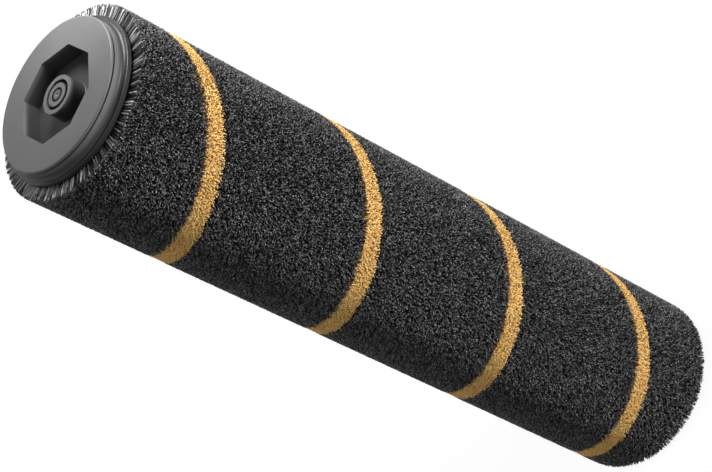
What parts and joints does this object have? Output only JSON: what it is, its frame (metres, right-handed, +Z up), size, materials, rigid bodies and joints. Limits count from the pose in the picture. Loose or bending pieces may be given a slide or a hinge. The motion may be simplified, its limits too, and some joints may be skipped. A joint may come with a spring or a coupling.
{
  "type": "soft roller brush",
  "caption": "Soft plush roller brush for a cordless vacuum head, with a gold stripe wound round it and a still end cap on a ball bearing.",
  "frame": {"origin": "centre of the drive plug's flat end face, on which the roller stands", "axes": "+Z up along the roller's axis towards the octagonal end cap; +X and +Y square to flats of the octagonal socket"},
  "size_m": [0.0502, 0.0502, 0.2152],
  "materials": {
    "black_pile": "dense matt nylon pile, charcoal black",
    "gold_pile": "dense nylon pile, golden",
    "backing": "woven backing",
    "grey_plastic": "fine satin moulding",
    "cap_plastic": "fine satin moulding",
    "tube_aluminium": "drawn",
    "steel": "turned or pressed",
    "felt": "pressed felt"
  },
  "bodies": {
    "roller": {"core_tube": "tube_aluminium", "pile_backing": "backing", "black_pile": "black_pile", "gold_pile": "gold_pile", "idler_plug": "grey_plastic", "drive_plug": "grey_plastic", "dust_seal": "felt", "bearing_outer_ring": "steel", "front_shield": "steel", "rear_shield": "steel"},
    "cap_unit": {"end_cap": "cap_plastic", "stub_axle": "steel", "spacer_sleeve": "steel", "bearing_inner_ring": "steel", "wave_washer": "steel", "thrust_washer": "steel", "retaining_clip": "steel"},
    "ball_train": {"bearing_balls": "steel", "cage_front_half": "steel", "cage_rear_half": "steel"}
  },
  "joints": [
    {"name": "cap_spin", "type": "hinge", "parent": "roller", "child": "cap_unit", "pos_m": [0, 0, 0.2032], "axis": [0, 0, 1], "continuous": true},
    {"name": "ball_orbit", "type": "hinge", "parent": "roller", "child": "ball_train", "pos_m": [0, 0, 0.2032], "axis": [0, 0, 1], "continuous": true}
  ],
  "couplings": [
    {"joint": "ball_orbit", "follows": "cap_spin", "ratio": 0.38667}
  ]
}
